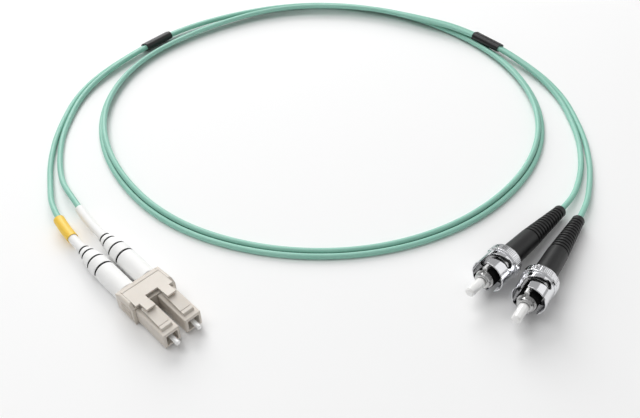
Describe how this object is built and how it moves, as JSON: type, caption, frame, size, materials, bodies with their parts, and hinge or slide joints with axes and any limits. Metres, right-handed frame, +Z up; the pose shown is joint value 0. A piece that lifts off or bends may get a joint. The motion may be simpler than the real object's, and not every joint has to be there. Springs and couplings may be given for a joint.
{
  "type": "fiber optic patch cord",
  "caption": "Duplex fiber optic patch cord: an LC duplex plug with a latch trigger at one end, ST bayonet connectors at the other, on a zip cord in open turns.",
  "frame": {"origin": "on the surface it lies on, under the middle of the box round the connectors at both ends", "axes": "+Z up from that surface, +X from the LC end towards the ST end, +Y from the connectors towards the far side of the cord's turns"},
  "size_m": [0.1627, 0.1568, 0.0097],
  "materials": {
    "cord_jacket": "satin",
    "lc_plastic": "semi-gloss",
    "white_boot": "satin",
    "marker_yellow": "satin",
    "ceramic": "polished",
    "plated_metal": "satin",
    "spring_steel": "satin",
    "crimp_metal": "satin",
    "fibre_buffer": "satin",
    "chrome_nut": "mirror",
    "black_boot": "satin",
    "black_sleeve": "satin"
  },
  "bodies": {
    "base": {"cord_strand_a": "cord_jacket", "cord_strand_b": "cord_jacket", "cord_web": "cord_jacket", "lc_boot_a": "white_boot", "lc_boot_b": "white_boot", "lc_cord_end_a": "cord_jacket", "lc_cord_end_b": "cord_jacket", "lc_crimp_sleeve_a": "crimp_metal", "lc_crimp_sleeve_b": "crimp_metal", "lc_duplex_clip": "lc_plastic", "lc_fibre_a": "fibre_buffer", "lc_fibre_b": "fibre_buffer", "lc_housing_a": "lc_plastic", "lc_housing_b": "lc_plastic", "lc_marker_sleeve": "marker_yellow", "lc_rear_body_a": "lc_plastic", "lc_rear_body_b": "lc_plastic", "lc_spring_a": "spring_steel", "lc_spring_b": "spring_steel", "split_sleeve_left": "black_sleeve", "split_sleeve_right": "black_sleeve", "st_body_a": "plated_metal", "st_body_b": "plated_metal", "st_boot_a": "black_boot", "st_boot_b": "black_boot", "st_cord_end_a": "cord_jacket", "st_cord_end_b": "cord_jacket", "st_crimp_sleeve_a": "crimp_metal", "st_crimp_sleeve_b": "crimp_metal", "st_ferrule_a": "ceramic", "st_ferrule_b": "ceramic", "st_fibre_a": "fibre_buffer", "st_fibre_b": "fibre_buffer", "st_key_a": "plated_metal", "st_key_b": "plated_metal", "st_retaining_ring_a": "spring_steel", "st_retaining_ring_b": "spring_steel", "st_spring_a": "spring_steel", "st_spring_b": "spring_steel"},
    "trigger": {"lc_trigger": "lc_plastic"},
    "latch_a": {"lc_latch_a": "lc_plastic"},
    "ferrule_a": {"lc_ferrule_a": "ceramic", "lc_ferrule_flange_a": "plated_metal"},
    "nut_carrier_a": {"st_thrust_washer_a": "spring_steel"},
    "nut_a": {"st_coupling_nut_a": "chrome_nut"},
    "latch_b": {"lc_latch_b": "lc_plastic"},
    "ferrule_b": {"lc_ferrule_b": "ceramic", "lc_ferrule_flange_b": "plated_metal"},
    "nut_carrier_b": {"st_thrust_washer_b": "spring_steel"},
    "nut_b": {"st_coupling_nut_b": "chrome_nut"}
  },
  "joints": [
    {"name": "trigger_press", "type": "hinge", "parent": "base", "child": "trigger", "pos_m": [-0.04371, -0.00699, 0.00588], "axis": [0.7133, 0.7009, 0], "range_deg": [0, 4.5], "stiffness_Nm_per_rad": 0.0005, "springref_deg": -1.15},
    {"name": "latch_a_press", "type": "hinge", "parent": "base", "child": "latch_a", "pos_m": [-0.03614, -0.01915, 0.0054], "axis": [-0.7133, -0.7009, 0], "range_deg": [0, 5], "stiffness_Nm_per_rad": 0.0001, "springref_deg": -1.15},
    {"name": "lc_ferrule_a_slide", "type": "slide", "parent": "base", "child": "ferrule_a", "axis": [-0.7009, 0.7133, 0], "range_m": [0, 0.0009], "stiffness_N_per_m": 1000, "springref_m": -0.004, "deforming": ["lc_spring_a"]},
    {"name": "st_nut_a_slide", "type": "slide", "parent": "base", "child": "nut_carrier_a", "axis": [-0.5571, -0.8259, 0.0872], "range_m": [0, 0.001], "stiffness_N_per_m": 2500, "springref_m": -0.001, "deforming": ["st_spring_a"]},
    {"name": "st_nut_a_turn", "type": "hinge", "parent": "nut_carrier_a", "child": "nut_a", "pos_m": [0.0496, -0.0122, 0.00536], "axis": [-0.5571, -0.8259, 0.0872], "continuous": true},
    {"name": "latch_b_press", "type": "hinge", "parent": "base", "child": "latch_b", "pos_m": [-0.03168, -0.01477, 0.0054], "axis": [-0.7133, -0.7009, 0], "range_deg": [0, 5], "stiffness_Nm_per_rad": 0.0001, "springref_deg": -1.15},
    {"name": "lc_ferrule_b_slide", "type": "slide", "parent": "base", "child": "ferrule_b", "axis": [-0.7009, 0.7133, 0], "range_m": [0, 0.0009], "stiffness_N_per_m": 1000, "springref_m": -0.004, "deforming": ["lc_spring_b"]},
    {"name": "st_nut_b_slide", "type": "slide", "parent": "base", "child": "nut_carrier_b", "axis": [-0.6857, -0.7226, 0.0872], "range_m": [0, 0.001], "stiffness_N_per_m": 2500, "springref_m": -0.001, "deforming": ["st_spring_b"]},
    {"name": "st_nut_b_turn", "type": "hinge", "parent": "nut_carrier_b", "child": "nut_b", "pos_m": [0.0409, -0.0049, 0.00536], "axis": [-0.6857, -0.7226, 0.0872], "continuous": true}
  ],
  "couplings": [
    {"joint": "latch_a_press", "follows": "trigger_press", "ratio": 1.1},
    {"joint": "latch_b_press", "follows": "trigger_press", "ratio": 1.1}
  ]
}
